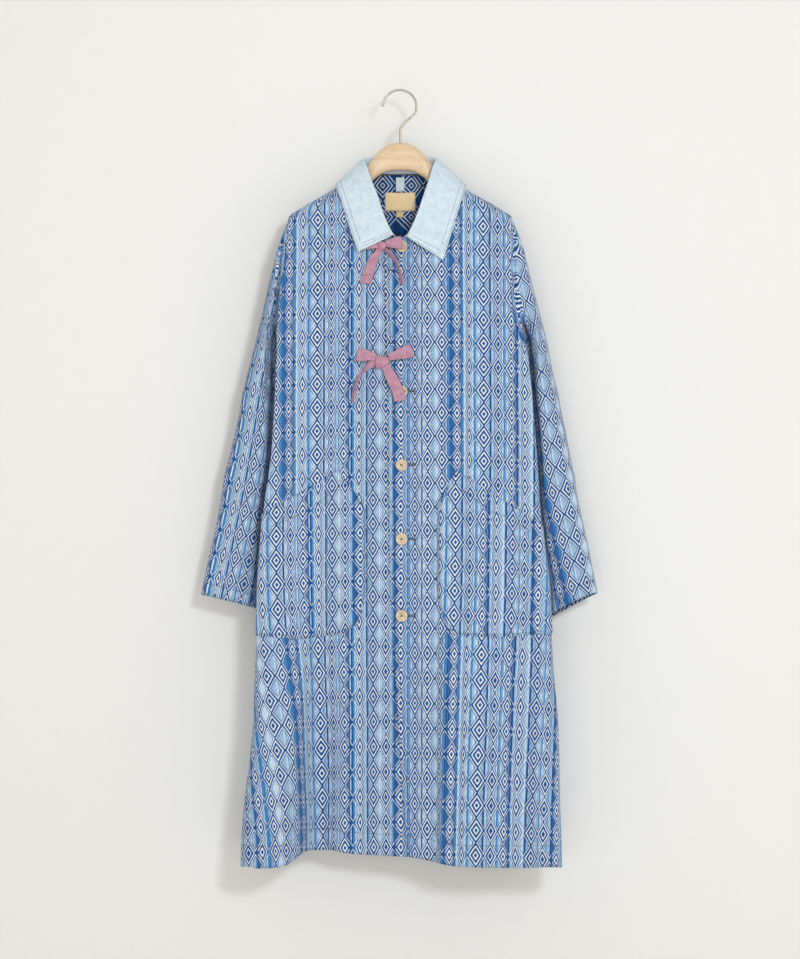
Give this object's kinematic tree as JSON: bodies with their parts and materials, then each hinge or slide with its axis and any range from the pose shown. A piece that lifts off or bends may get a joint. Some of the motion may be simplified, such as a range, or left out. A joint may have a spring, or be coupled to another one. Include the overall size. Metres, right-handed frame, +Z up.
{
  "type": "farmer coat on a wooden hanger",
  "caption": "Long A-line coat with a turned-down collar, tape bows, hip pockets and a button front, hanging on a wooden hanger with a wire hook.",
  "frame": {"origin": "inner top of the hanger's hook, where a rail carries it", "axes": "+Z up along the coat's length, +X towards the wearer's left sleeve, -Y is the coat's front and +Y the wall it hangs on"},
  "size_m": [0.6166, 0.1523, 1.1993],
  "materials": {
    "coat_cloth": "indigo and white figured cotton twill, matte",
    "chambray": "pale blue chambray, matte",
    "mauve_tape": "dusty mauve cotton tape, matte",
    "horn": "cream turned button, satin",
    "beech": "clear satin lacquer",
    "steel": "bent wire, brushed nickel",
    "gold_satin": "woven satin ribbon",
    "pale_satin": "woven satin ribbon"
  },
  "bodies": {
    "root": {"front_right": "coat_cloth", "front_left": "coat_cloth", "back": "coat_cloth", "sleeve_right": "coat_cloth", "sleeve_left": "coat_cloth", "pocket_right": "coat_cloth", "pocket_left": "coat_cloth", "collar": "chambray", "button_1": "horn", "button_2": "horn", "button_3": "horn", "button_4": "horn", "button_5": "horn", "upper_bow_knot": "mauve_tape", "upper_bow_loop_left": "mauve_tape", "upper_bow_loop_right": "mauve_tape", "upper_bow_tail_right": "mauve_tape", "upper_bow_tail_left": "mauve_tape", "lower_bow_knot": "mauve_tape", "lower_bow_loop_left": "mauve_tape", "lower_bow_loop_right": "mauve_tape", "lower_bow_tail_right": "mauve_tape", "lower_bow_tail_left": "mauve_tape", "neck_label": "gold_satin", "size_tab": "pale_satin", "hanging_loop": "chambray", "hanger": "beech", "hook": "steel"}
  },
  "joints": []
}
